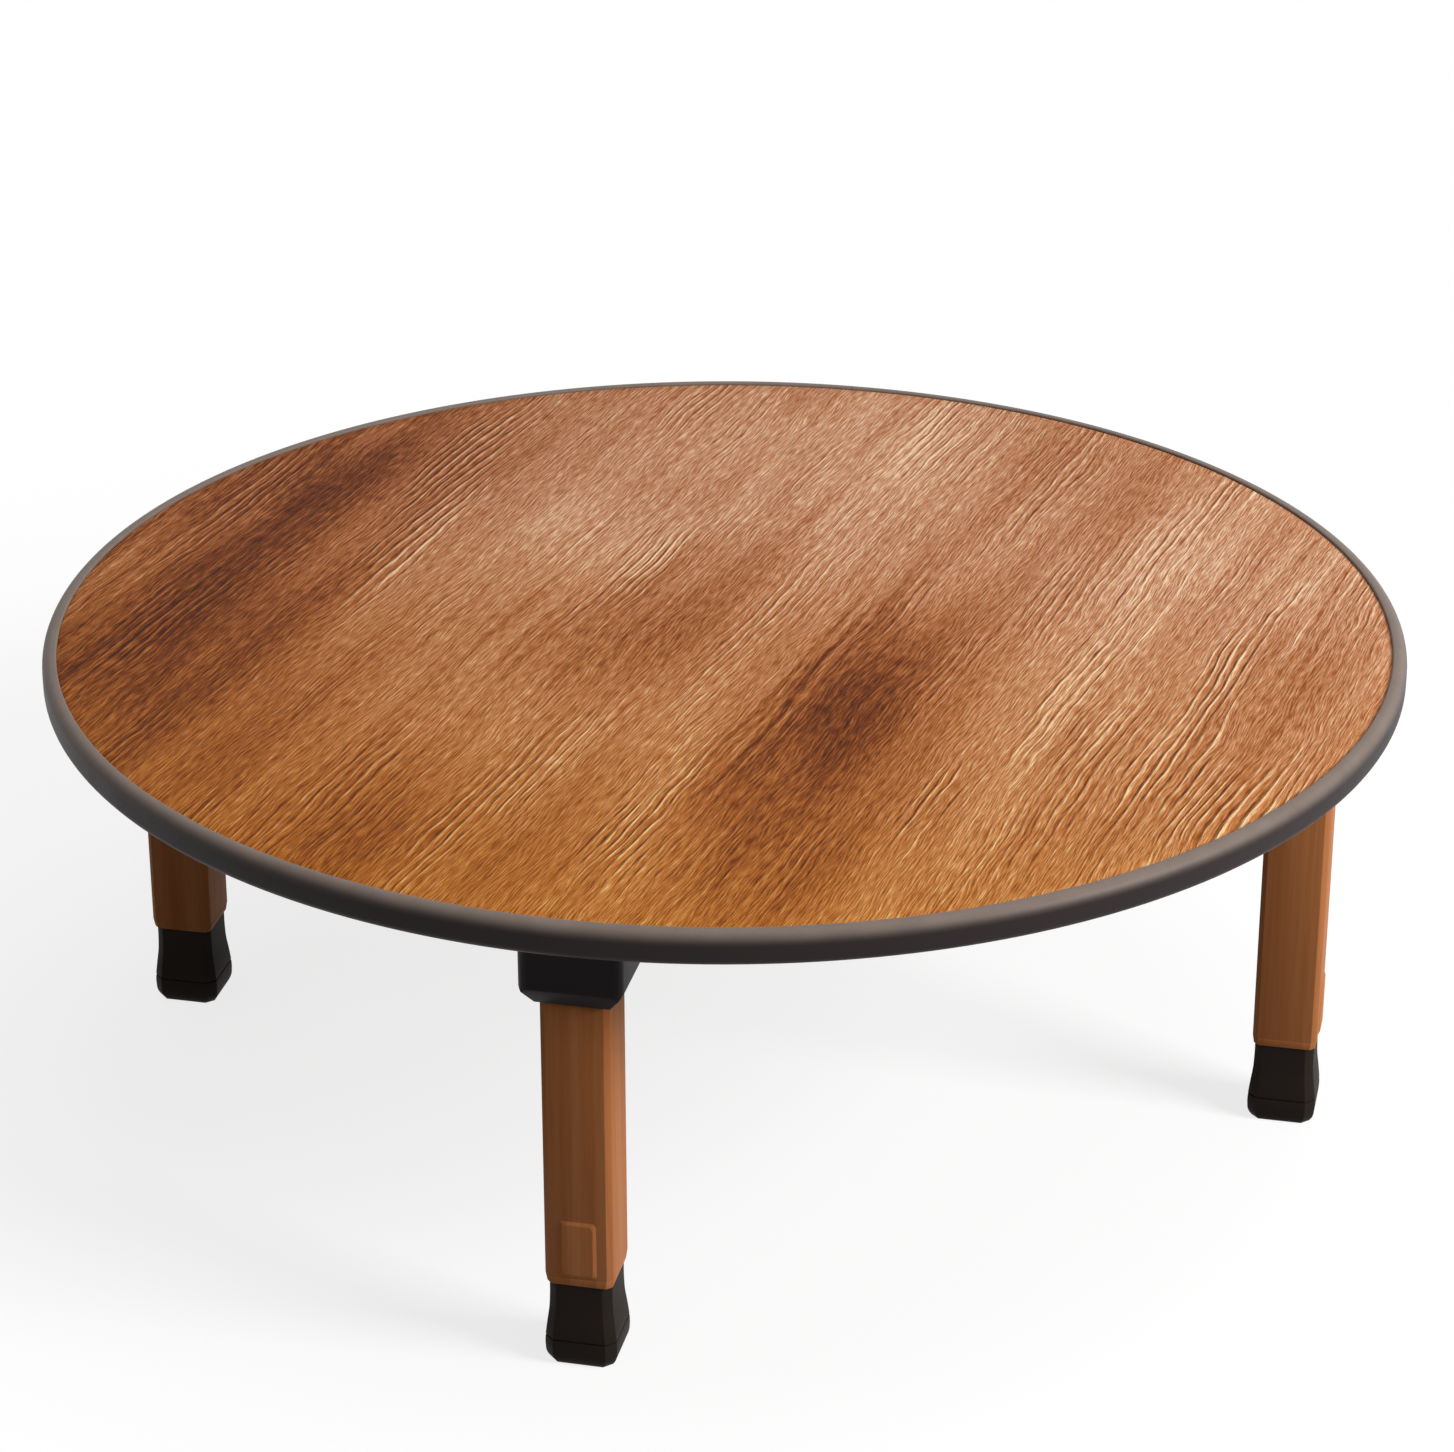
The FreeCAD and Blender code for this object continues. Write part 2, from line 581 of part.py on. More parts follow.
def make_leg_collar(name, angle):
    """Tapered collar between the sleeve and the foot."""
    body = new_body(f"leg_collar_{name}")
    lower = draw(body, "XY_Plane", FOOT_TOP, octagon("collar_foot_width", "sleeve_chamfer"))
    upper = draw(body, "XY_Plane", COLLAR_TOP, octagon("sleeve_width", "sleeve_chamfer"))
    loft(body, "taper", lower, upper, ruled=True)
    inside = draw(body, "XY_Plane", FOOT_TOP, square(f"({TUBE_HALF} + tube_clear)"))
    pocket(body, "inside", inside, "collar_height + overrun", reverse=True)
    on_leg(body, angle)


def make_foot(name, angle):
    """Rubber foot: a flared boot with a groove round it, and a plug up in the tube."""
    body = new_body(f"foot_{name}")
    levels = (
        ("foot_sole_width", "0"),
        ("foot_tread_width", "foot_tread_height"),
        ("foot_flare_width", "foot_flare_height"),
        ("foot_shoulder_width", "foot_shoulder_height"),
        ("foot_waist_width", "foot_waist_height"),
        ("foot_throat_width", "foot_throat_height"),
        ("foot_neck_width", "foot_height"),
    )
    sections = [
        draw(body, "XY_Plane", f"({FLOOR} + {height})", octagon(width, "foot_chamfer"))
        for width, height in levels
    ]
    loft(body, "boot", *sections)
    groove = draw(
        body, "XY_Plane", f"({FLOOR} + foot_groove_height - foot_groove_width / 2)",
        octagon("(foot_flare_width + 2 * overrun)", "foot_chamfer"),
        octagon("(foot_flare_width - 2 * foot_groove_depth)", "foot_chamfer"),
    )
    pocket(body, "groove", groove, "foot_groove_width", reverse=True)
    plug = draw(body, "XY_Plane", FOOT_TOP, square(f"({BORE_HALF} - plug_clear)"))
    pad(body, "plug", plug, "plug_height")

    def plug_corner(edge):
        return upright(edge) and edge.BoundBox.ZMin > number(FOOT_TOP) - number("press_gap")

    dress(body, "Fillet", "Radius", "tube_corner - tube_wall", plug_corner)
    pilot = ("0", FOOT_SCREW_HEIGHT, "(screw_diameter / 2 + screw_gap)")
    depth = "(foot_screw_length - tube_wall - plug_clear + overrun / 2)"
    start = f"({BORE_HALF} - plug_clear)"
    pocket(body, "pilot", draw(body, "YZ_Plane", start, pilot), depth)
    on_leg(body, angle)


def make_cover_plate(name, angle):
    """Raised plate on the outer face, with a stub in the hole over the foot screw."""
    body = new_body(f"cover_plate_{name}")
    low = f"({COLLAR_TOP} + plate_round)"
    outline = rectangle("-plate_width / 2", "plate_width / 2", low, f"({low} + plate_height)")
    pad(body, "plate", draw(body, "YZ_Plane", "sleeve_width / 2", outline), "plate_thick")

    dress(body, "Fillet", "Radius", "plate_corner", outwards)
    outer = "(sleeve_width / 2 + plate_thick)"
    dress(body, "Fillet", "Radius", "plate_round", lambda edge: near(edge.BoundBox.XMin, outer))
    stub = ("0", FOOT_SCREW_HEIGHT, "(access_diameter / 2 - stub_gap)")
    pad(body, "stub", draw(body, "YZ_Plane", "sleeve_width / 2", stub), "plate_stub_length", reverse=True)
    on_leg(body, angle)


def make_lock_spring(name, angle):
    """Bent spring strip in the tube; its nub reaches through the tube into the bracket."""
    body = new_body(f"lock_spring_{name}")
    top = "(-spacer_diameter / 2 - spring_top_gap)"
    low = f"({top} - spring_length)"
    outer = f"({BORE_HALF} - spring_gap)"
    inner = f"({outer} - spring_thick)"
    inner_low = f"({low} + spring_thick)"
    strip = [
        (f"-{outer}", top), (f"-{outer}", low), (outer, low), (outer, top),
        (inner, top), (inner, inner_low), (f"-{inner}", inner_low), (f"-{inner}", top),
    ]
    pad(body, "strip", draw(body, "YZ_Plane", "0", strip), "spring_width", both=True)

    def bend(side_face, height):
        def wanted(edge):
            place = edge.CenterOfMass
            return outwards(edge) and near(abs(place.y), side_face) and near(place.z, height)
        return wanted

    dress(body, "Fillet", "Radius", "spring_bend + spring_thick", bend(outer, low))
    dress(body, "Fillet", "Radius", "spring_bend", bend(inner, inner_low))
    nub = draw(body, "XZ_Plane", inner, ("0", "-nub_drop", "nub_diameter / 2"))
    pad(body, "nub", nub, f"{TUBE_HALF} + nub_reach - {inner}")
    on_leg(body, angle)


def make_release_button(name, angle):
    """Push button in the cheek; pressed, it drives the nub back into the tube."""
    body = new_body(f"release_button_{name}")
    flange = draw(body, "XZ_Plane", BUTTON_FACE, ("0", "-nub_drop", "nub_diameter / 2"))
    pad(body, "flange", flange, "button_flange_thick")
    stem_start = f"({BUTTON_FACE} + button_flange_thick)"
    stem = draw(body, "XZ_Plane", stem_start, ("0", "-nub_drop", "button_diameter / 2"))
    end = f"({CHEEK} + button_proud)"
    pad(body, "stem", stem, f"{end} - {stem_start}")
    dress(body, "Fillet", "Radius", "button_round", lambda edge: near(edge.BoundBox.YMax, f"-{end}"))
    on_leg(body, angle)


def make_screw(name, length):
    """Cross-head screw: its seat at z = 0, its shank up."""
    head = add("Cylinder", f"{name}_head", Radius="screw_head_diameter / 2", Height="screw_head_height")
    move(head, z="-screw_head_height")
    radius = "screw_diameter / 2"
    shank = add("Cylinder", f"{name}_shank", Radius=radius, Height=f"{length} - screw_tip")
    tip = add("Cone", f"{name}_tip", Radius1=radius, Radius2="screw_slot_width / 2", Height="screw_tip")
    move(tip, z=f"{length} - screw_tip")
    long, wide, deep = "screw_slot_length", "screw_slot_width", "screw_slot_depth + overrun"
    slots = []
    for x_size, y_size in ((long, wide), (wide, long)):
        slot = add("Box", f"{name}_slot", Length=x_size, Width=y_size, Height=deep)
        slots.append(move(slot, f"-{x_size} / 2", f"-{y_size} / 2", "-screw_head_height - overrun"))
    whole = fuse(f"{name}_whole", head, shank, tip)
    return cut(name, whole, fuse(f"{name}_recess", *slots))


def group(label, things, angle):
    made = doc.addObject("Part::Compound", label)
    made.Label = label
    made.Links = things
    on_leg(made, angle)


def make_bracket_screws(name, angle):
    screws = []
    for x, y in screw_places():
        screw = make_screw(f"bracket_screw_{name}", "bracket_screw_length")
        screws.append(move(screw, x, y, FLANGE_BOTTOM))
    group(f"bracket_screws_{name}", screws, angle)


def make_foot_screw(name, angle):
    inwards = FreeCAD.Rotation(FreeCAD.Vector(0, 0, 1), FreeCAD.Vector(-1, 0, 0))
    screw = make_screw(f"foot_screw_{name}_one", "foot_screw_length")
    move(screw, TUBE_HALF, "0", FOOT_SCREW_HEIGHT, inwards)
    group(f"foot_screw_{name}", [screw], angle)


LEG_PIECES = (
    make_bracket,
    make_bracket_screws,
    make_pivot_pin,
    make_pin_cap,
    make_release_button,
    make_leg_tube,
    make_spacer,
    make_lock_spring,
    make_leg_sleeve,
    make_leg_collar,
    make_cover_plate,
    make_foot,
    make_foot_screw,
)


def check_and_write():
    doc.recompute()
    failed = [item.Name for item in doc.Objects if {"Invalid", "Error"} & set(item.State)]
    failed += [part.Label for part in parts if part.Shape.isNull() or not part.Shape.isValid()]
    if failed:
        sys.exit(f"failed: {failed}")
    os.makedirs("parts", exist_ok=True)
    for part in parts:
        part.Shape.exportStep(os.path.join("parts", f"{part.Label}.step"))
        print(part.Label, len(part.Shape.Solids), round(part.Shape.Volume))


fill_sheet()
make_core_board()
make_backing_sheet()
make_top_laminate()
make_edge_rim()
for side, way_round in SIDES:
    for make_piece in LEG_PIECES:
        make_piece(side, way_round)
check_and_write()
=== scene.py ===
import math

import bmesh
import bpy
from mathutils import Matrix, Vector


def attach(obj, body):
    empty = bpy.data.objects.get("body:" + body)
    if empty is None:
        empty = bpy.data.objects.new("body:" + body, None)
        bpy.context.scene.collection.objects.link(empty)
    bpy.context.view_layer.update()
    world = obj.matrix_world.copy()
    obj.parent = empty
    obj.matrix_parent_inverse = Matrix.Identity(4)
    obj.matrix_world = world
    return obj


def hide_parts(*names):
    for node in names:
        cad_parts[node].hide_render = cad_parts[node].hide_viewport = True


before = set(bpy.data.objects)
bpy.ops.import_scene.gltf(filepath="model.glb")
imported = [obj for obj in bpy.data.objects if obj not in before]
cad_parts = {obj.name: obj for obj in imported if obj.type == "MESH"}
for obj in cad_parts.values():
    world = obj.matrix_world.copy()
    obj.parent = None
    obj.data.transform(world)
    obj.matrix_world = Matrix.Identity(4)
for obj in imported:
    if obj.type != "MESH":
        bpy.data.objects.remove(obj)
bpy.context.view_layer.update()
bpy.ops.object.select_all(action="DESELECT")
mm = 0.001

# A low round folding table. X is to the right, the front leg is at -Y, the floor is z = 0.
sides = {"front": -90, "right": 0, "back": 90, "left": 180}  # degrees from +X
legRadius = 345  # mm, table's centre to a leg's centre


# Selecting and shaping in edit mode

def editMode():
    bpy.ops.object.mode_set(mode="EDIT")


def objectMode():
    bpy.ops.object.mode_set(mode="OBJECT")


def pick(kind, wanted):
    # selects only the edges or faces that the test wants
    bpy.ops.mesh.select_mode(type=kind)
    bpy.ops.mesh.select_all(action="DESELECT")
    shape = bmesh.from_edit_mesh(bpy.context.object.data)
    for part in {"EDGE": shape.edges, "FACE": shape.faces}[kind]:
        part.select_set(bool(wanted(part)))
    bmesh.update_edit_mesh(bpy.context.object.data)


def close(value, target, slack=0.02 * mm):
    return abs(value - target) < slack


def middle(edge):
    return (edge.verts[0].co + edge.verts[1].co) / 2


def atHeight(edge, height):
    return all(close(corner.co.z, height) for corner in edge.verts)


def climb(levels):
    # extrudes the selected ring through (height, width) levels, scaled about the Z axis
    for (height, width), (nextHeight, nextWidth) in zip(levels, levels[1:]):
        rise = {"value": (0, 0, nextHeight - height)}
        bpy.ops.mesh.extrude_edges_move(TRANSFORM_OT_translate=rise)
        grow = nextWidth / width
        bpy.ops.transform.resize(value=(grow, grow, 1), center_override=(0, 0, 0))


def roundEdges(wanted, radius, segments):
    pick("EDGE", wanted)
    bpy.ops.mesh.bevel(offset=radius, segments=segments, affect="EDGES", clamp_overlap=True)


def modify(piece, kind, **settings):
    step = piece.modifiers.new(kind.lower(), kind)
    for name, value in settings.items():
        setattr(step, name, value)
    bpy.context.view_layer.objects.active = piece
    bpy.ops.object.modifier_apply(modifier=step.name)


def smooth(piece, degrees=35):
    bpy.ops.object.select_all(action="DESELECT")
    piece.select_set(True)
    bpy.context.view_layer.objects.active = piece
    bpy.ops.object.shade_smooth_by_angle(angle=math.radians(degrees))


def cleanUp(piece):
    editMode()
    bpy.ops.mesh.select_all(action="SELECT")
    bpy.ops.mesh.remove_doubles(threshold=0.001 * mm)
    bpy.ops.mesh.normals_make_consistent(inside=False)
    objectMode()


def hand(piece, finish, body, node):
    # gives a finished piece its material and its body, and hides the CAD node that it stands for
    piece.data.materials.clear()
    piece.data.materials.append(finishes[finish])
    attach(piece, body)
    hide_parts(node)


def onEachLeg(model, name, finish):
    # the model stands on the Z axis as the front leg; each leg gets a copy, moved out and turned
    smooth(model)
    for side, angle in sides.items():
        piece = model.copy()
        piece.data = model.data.copy()
        piece.name = piece.data.name = f"{name}_{side}_skin"
        bpy.context.scene.collection.objects.link(piece)
        turn = Matrix.Rotation(math.radians(angle - sides["front"]), 4, "Z")
        piece.data.transform(turn @ Matrix.Translation((0, -legRadius * mm, 0)))
        hand(piece, finish, f"leg_{side}", f"{name}_{side}")
    bpy.data.objects.remove(model)


# Materials

def linear(code):
    # sRGB hex to linear
    parts = [int(code[i:i + 2], 16) / 255 for i in (0, 2, 4)]
    return tuple(c / 12.92 if c <= 0.04045 else ((c + 0.055) / 1.055) ** 2.4 for c in parts) + (1,)


def addNode(tree, kind, inputs, output=0, stops=(), **settings):
    # adds a node, sets or links its inputs and its ramp's stops, and gives back one output
    made = tree.nodes.new("ShaderNode" + kind)
    for name, value in settings.items():
        setattr(made, name, value)
    for name, value in inputs.items():
        if isinstance(value, bpy.types.NodeSocket):
            tree.links.new(value, made.inputs[name])
        else:
            made.inputs[name].default_value = value
    for index, (position, colour) in enumerate(stops):
        ramp = made.color_ramp.elements
        stop = ramp[index] if index < 2 else ramp.new(position)
        stop.position = position
        stop.color = colour if isinstance(colour, tuple) else (colour, colour, colour, 1)
    return made.outputs[output] if made.outputs else None


def startFinish(name):
    finish = bpy.data.materials.new(name)
    finish.use_nodes = True
    finish.node_tree.nodes.clear()
    return finish, finish.node_tree, addNode(finish.node_tree, "TexCoord", {}, "Object")


# Melamine laminate, printed as warm brown elm and pressed with its grain. The print gives broad
# bands and clouds. The tone is golden at the front and paler rosy at the back: partly the print's
# tone, partly a painted sheen. The press gives short pores and wavy lines, whose edges catch the
# light.
wood = {
    "grainAngle": 81,  # degrees from +X
    # mm along the grain, mm across it, detail, share in the tone
    "figure": (420, 55, 2, 0.5),  # broad bands
    "streak": (130, 5, 3, 0.55),  # soft streaks
    "pore": (13, 1.2, 2, 1.0),  # the real ones are near 0.3 mm wide, drawn as coarse as they show
    "bend": (260, 110, 1, 16),  # the share is how far the lines stray, in mm
    "wiggle": (48, 22, 1, 5),
    "crowd": (240, 45, 1, 1),  # where the lines show
    "ragged": 160,  # mm that the streaks draw out the clouds' edges
    "lineGap": 5.5, "lineDrift": 26,  # mm from line to line, and how far the bands push them
    "lineShare": 0.7, "lineFaint": 0.08,  # share in the tone, as the print's lines and a painted highlight and shade, and what is left away from the crowds
    "tone": 0.655,
    "rosy": ("3A1607", "723714", "AA673C", "CD946F", "EFCAA6"),
    "golden": ("401806", "7A3C0E", "AC631F", "C98339", "EDC27A"),
    # golden at the front fading to paler rosy at the back: partly the print's tone, partly a
    # painted sheen
    "goldenFrom": -360, "goldenTo": 130, "goldenMost": 0.9,  # mm along the grain from the centre
    "relief": 1.2 * mm, "roughness": 0.52, "specular": 0.04,
}
# clouds in the tone, mostly the print's own. The pale ones at the back, (190, -290), (300, 10) and
# (260, 40), are partly a painted sheen. The dark one at (-335, 110) is a painted cast shadow.
# Columns: mm along and across the grain, half length, half width, change of tone
cloudsSheenAndShadow = [
    (110, 330, 420, 150, -0.37), (-200, 275, 270, 170, -0.33), (-85, -104, 270, 60, -0.34),
    (-60, -90, 300, 20, -0.05), (-110, -128, 240, 14, -0.1), (130, 300, 380, 30, -0.07),
    (-120, 240, 300, 24, -0.1), (-10, 40, 180, 150, -0.14), (-130, -158, 250, 66, -0.19),
    (-310, -150, 130, 60, -0.1), (30, -345, 180, 60, -0.08), (-140, -320, 190, 90, -0.1),
    (-335, 110, 150, 170, -0.14), (-300, 0, 170, 330, -0.07), (-355, 45, 90, 110, -0.06),
    (280, 55, 120, 50, -0.08), (280, -130, 140, 60, -0.05), (190, -290, 240, 110, 0.13),
    (110, -215, 330, 60, 0.04), (230, 105, 160, 60, 0.04), (300, 10, 170, 110, 0.08),
    (-60, -222, 190, 50, 0.1), (260, 40, 260, 230, 0.08), (65, 125, 130, 75, 0.13),
]
# where the pressed lines show most: the same measures, and how much
crowds = [
    (30, -300, 300, 16, 0.5), (80, -220, 300, 18, 0.4), (70, 232, 230, 34, 0.35),
    (70, 80, 120, 30, 0.3), (-140, -345, 110, 34, 0.5), (-250, -57, 150, 16, 0.4),
    (-200, -195, 110, 16, 0.4), (210, 265, 110, 20, 0.3), (-290, 60, 110, 60, 0.2),
]
# where the grain strays most, near the front on the right: the same measures, and how much more
strays = [(-130, -330, 170, 90, 1.5)]
# a pressed line across its gap: a bright crest, then a dark furrow. As height it is the relief; in
# the colour it is partly the print's lines, partly a painted highlight and painted shade
lineShape = [(0.0, 0.5), (0.14, 0.9), (0.26, 1.0), (0.4, 0.3), (0.5, 0.0), (0.68, 0.45), (1.0, 0.5)]


def makeWood():
    finish, tree, place = startFinish("printed_elm_melamine")
    turn = (0, 0, -math.radians(wood["grainAngle"]))
    flat = addNode(tree, "Mapping", {"Vector": place, "Scale": (1000, 1000, 0), "Rotation": turn})

    def addField(name, vector, total):
        # adds a noise field, drawn out along the grain and centred on 0, to a value
        along, across, detail, share = wood[name]
        sized = addNode(tree, "Mapping", {"Vector": vector, "Scale": (1 / along, 1 / across, 0)})
        field = addNode(tree, "TexNoise", {"Vector": sized, "Scale": 1, "Detail": detail}, "Fac")
        centred = addNode(tree, "Math", {0: field, 1: 0.5}, operation="SUBTRACT")
        return addNode(tree, "Math", {0: centred, 1: share, 2: total}, operation="MULTIPLY_ADD")

    def addSpots(spots, vector, total):
        # adds soft oval spots to a value
        for along, across, halfLength, halfWidth, change in spots:
            size = (1 / halfLength, 1 / halfWidth, 0)
            shift = (-along / halfLength, -across / halfWidth, 0)
            oval = addNode(tree, "Mapping", {"Vector": vector, "Scale": size, "Location": shift})
            spot = addNode(tree, "TexGradient", {"Vector": oval}, "Fac", gradient_type="SPHERICAL")
            soft = addNode(tree, "MapRange", {"Value": spot}, interpolation_type="SMOOTHSTEP")
            total = addNode(tree, "Math", {0: soft, 1: change, 2: total}, operation="MULTIPLY_ADD")
        return total

    # the grain strays a little sideways
    along = addNode(tree, "SeparateXYZ", {"Vector": flat}, "X")
    across = along.node.outputs["Y"]
    stray = addSpots(strays, flat, 1)
    stray = addNode(tree, "Math", {0: addField("bend", flat, 0), 1: stray}, operation="MULTIPLY")
    stray = addField("wiggle", flat, stray)
    across = addNode(tree, "Math", {0: across, 1: stray}, operation="ADD")
    grain = addNode(tree, "CombineXYZ", {"X": along, "Y": across})

    # the clouds' edges are drawn out into streaks
    streak = addField("streak", grain, 0)
    torn = {0: streak, 1: wood["ragged"], 2: across}
    ragged = addNode(tree, "Math", torn, operation="MULTIPLY_ADD")
    ragged = addNode(tree, "CombineXYZ", {"X": along, "Y": ragged})
    figure = addField("figure", grain, wood["tone"])
    pore = addField("pore", grain, 0)

    # lines run beside each other and follow the bands
    drift = {0: figure, 1: wood["lineDrift"], 2: across}
    course = addNode(tree, "Math", drift, operation="MULTIPLY_ADD")
    course = addNode(tree, "Math", {0: course, 1: 1 / wood["lineGap"]}, operation="MULTIPLY")
    course = addNode(tree, "Math", {0: course}, operation="FRACT")
    crest = addNode(tree, "ValToRGB", {"Fac": course}, stops=lineShape)
    crest = addNode(tree, "Math", {0: crest, 1: 0.5}, operation="SUBTRACT")
    crowd = addSpots(crowds, ragged, addField("crowd", grain, 0.5))
    crowd = addNode(tree, "ValToRGB", {"Fac": crowd}, stops=[(0.5, wood["lineFaint"]), (0.8, 1.0)])
    line = addNode(tree, "Math", {0: crest, 1: crowd}, operation="MULTIPLY")

    tone = addNode(tree, "Math", {0: figure, 1: streak}, operation="ADD")
    tone = addNode(tree, "Math", {0: tone, 1: pore}, operation="ADD")
    # the lines in the colour: partly print, partly a painted highlight and painted shade copying
    # the relief's lighting
    lineInkAndShading = {0: line, 1: wood["lineShare"], 2: tone}
    tone = addNode(tree, "Math", lineInkAndShading, operation="MULTIPLY_ADD")
    # the clouds, with a painted sheen at the back and a painted shadow at the front left
    tone = addSpots(cloudsSheenAndShadow, ragged, tone)
    # painted sheen, partly print: the colour fades from golden at the front to paler rosy towards
    # the back
    frontGoldenBackSheen = addNode(tree, "MapRange", {
        "Value": along, "From Min": wood["goldenFrom"], "From Max": wood["goldenTo"],
        "To Min": wood["goldenMost"], "To Max": 0,
    })
    rosy, golden = (
        addNode(tree, "ValToRGB", {"Fac": tone}, stops=[
            (step / 4, linear(code)) for step, code in enumerate(wood[name])
        ]) for name in ("rosy", "golden")
    )
    colour = addNode(tree, "Mix", {0: frontGoldenBackSheen, 6: rosy, 7: golden}, 2, data_type="RGBA")

    relief = addNode(tree, "Math", {0: pore, 1: line}, operation="ADD")
    grain = addNode(tree, "Bump", {"Height": relief, "Strength": 1, "Distance": wood["relief"]})
    shader = addNode(tree, "BsdfPrincipled", {
        "Base Color": colour, "Normal": grain, "Roughness": wood["roughness"], "IOR": 1.5,
        "Specular IOR Level": wood["specular"],
    })
    addNode(tree, "OutputMaterial", {"Surface": shader})
    return finish


# Moulded plastic or rubber: one colour that clouds a little, over a fine spark-eroded texture
moulding = {"cloud": 40 * mm, "shades": (0.85, 1.15), "uneven": 0.05}


def makeMoulded(name, code, roughness, specular, grit, depth):
    finish, tree, place = startFinish(name)
    size = 1 / moulding["cloud"]
    cloud = addNode(tree, "TexNoise", {"Vector": place, "Scale": size, "Detail": 3}, "Fac")
    low, high = (tuple(c * share for c in linear(code)[:3]) + (1,) for share in moulding["shades"])
    colour = addNode(tree, "ValToRGB", {"Fac": cloud}, stops=[(0.3, low), (0.7, high)])
    rough = addNode(tree, "ValToRGB", {"Fac": cloud}, stops=[
        (0.2, roughness - moulding["uneven"]), (0.8, roughness + moulding["uneven"]),
    ])
    texture = addNode(tree, "TexNoise", {"Vector": place, "Scale": 1 / grit, "Detail": 2}, "Fac")
    grain = addNode(tree, "Bump", {"Height": texture, "Strength": 0.5, "Distance": depth})
    shader = addNode(tree, "BsdfPrincipled", {
        "Base Color": colour, "Roughness": rough, "Normal": grain, "Specular IOR Level": specular,
    })
    addNode(tree, "OutputMaterial", {"Surface": shader})
    return finish


# Soft PVC edging, extruded: near black and satin, with its upper lip paler as a painted highlight
edging = {
    "side": "2E2626", "lip": "7F7168", "from": 282 * mm, "to": 289.7 * mm,  # heights over which the painted highlight rises
    "blotchSize": 24 * mm, "grit": 0.5 * mm, "depth": 0.02 * mm,
    "smoothest": 0.4, "roughest": 0.56, "specular": 0.15,
}


def makeEdging():
    finish, tree, place = startFinish("soft_pvc_edging")
    height = addNode(tree, "SeparateXYZ", {"Vector": place}, "Z")
    size = 1 / edging["blotchSize"]
    blotches = addNode(tree, "TexNoise", {"Vector": place, "Scale": size, "Detail": 4}, "Fac")
    # painted highlight: the colour turns to the paler lip colour towards the top, in blotches
    paintedLipHighlight = addNode(tree, "MapRange", {
        "Value": height, "From Min": edging["from"], "From Max": edging["to"],
    }, interpolation_type="SMOOTHSTEP")
    patchy = addNode(tree, "ValToRGB", {"Fac": blotches}, stops=[(0.3, 0.8), (0.7, 1.0)])
    paintedLipHighlight = addNode(tree, "Math", {0: paintedLipHighlight, 1: patchy}, operation="MULTIPLY")
    # side is the edging's own near black; lip is the painted highlight's colour
    side, lip = linear(edging["side"]), linear(edging["lip"])
    colour = addNode(tree, "Mix", {0: paintedLipHighlight, 6: side, 7: lip}, 2, data_type="RGBA")
    rough = addNode(tree, "MapRange", {
        "Value": blotches, "To Min": edging["smoothest"], "To Max": edging["roughest"],
    })
    size = 1 / edging["grit"]
    texture = addNode(tree, "TexNoise", {"Vector": place, "Scale": size, "Detail": 2}, "Fac")
    grain = addNode(tree, "Bump", {
        "Height": texture, "Strength": 0.5, "Distance": edging["depth"],
    })
    shader = addNode(tree, "BsdfPrincipled", {
        "Base Color": colour, "Roughness": rough, "Normal": grain,
        "Specular IOR Level": edging["specular"],
    })
    addNode(tree, "OutputMaterial", {"Surface": shader})
    return finish


# Drawn or plated steel: a soft mirror with fine marks along its length
steel = {"markLength": 120 * mm, "uneven": 0.08, "depth": 0.02 * mm}


def makeSteel(name, code, roughness, scratch):
    finish, tree, place = startFinish(name)
    size = (1 / scratch, 1 / scratch, 1 / steel["markLength"])
    drawn = addNode(tree, "Mapping", {"Vector": place, "Scale": size})
    marks = addNode(tree, "TexNoise", {"Vector": drawn, "Scale": 1, "Detail": 3}, "Fac")
    rough = addNode(tree, "ValToRGB", {"Fac": marks}, stops=[
        (0.3, roughness - steel["uneven"]), (0.7, roughness + steel["uneven"]),
    ])
    grain = addNode(tree, "Bump", {"Height": marks, "Strength": 0.2, "Distance": steel["depth"]})
    shader = addNode(tree, "BsdfPrincipled", {
        "Base Color": linear(code), "Metallic": 1, "Roughness": rough, "Normal": grain,
    })
    addNode(tree, "OutputMaterial", {"Surface": shader})
    return finish


# ABS under a wood-tone film: smooth and satin, with faint upright grain
woodTone = {
    "dark": "AD6838", "light": "BE7C4E", "vein": "9C5B2E", "veinShare": 0.22,
    "bands": (8 * mm, 260 * mm), "veins": (1.6 * mm, 60 * mm),  # width and length
    "depth": 0.05 * mm, "roughness": 0.55, "specular": 0.06,
}


def makeWoodTone():
    finish, tree, place = startFinish("wood_tone_film_on_abs")
    fields = []
    for width, length in (woodTone["bands"], woodTone["veins"]):
        size = (1 / width, 1 / width, 1 / length)
        upright = addNode(tree, "Mapping", {"Vector": place, "Scale": size})
        noise = {"Vector": upright, "Scale": 1, "Detail": 2}
        fields.append(addNode(tree, "TexNoise", noise, "Fac"))
    band, vein = fields
    colour = addNode(tree, "ValToRGB", {"Fac": band}, stops=[
        (0.3, linear(woodTone["dark"])), (0.7, linear(woodTone["light"])),
    ])
    veinTone = linear(woodTone["vein"])
    amount = addNode(tree, "ValToRGB", {"Fac": vein}, stops=[
        (0.38, woodTone["veinShare"]), (0.5, 0.0),
    ])
    colour = addNode(tree, "Mix", {0: amount, 6: colour, 7: veinTone}, 2, data_type="RGBA")
    grain = addNode(tree, "Bump", {"Height": vein, "Strength": 0.3, "Distance": woodTone["depth"]})
    shader = addNode(tree, "BsdfPrincipled", {
        "Base Color": colour, "Normal": grain, "Roughness": woodTone["roughness"],
        "Specular IOR Level": woodTone["specular"],
    })
    addNode(tree, "OutputMaterial", {"Surface": shader})
    return finish


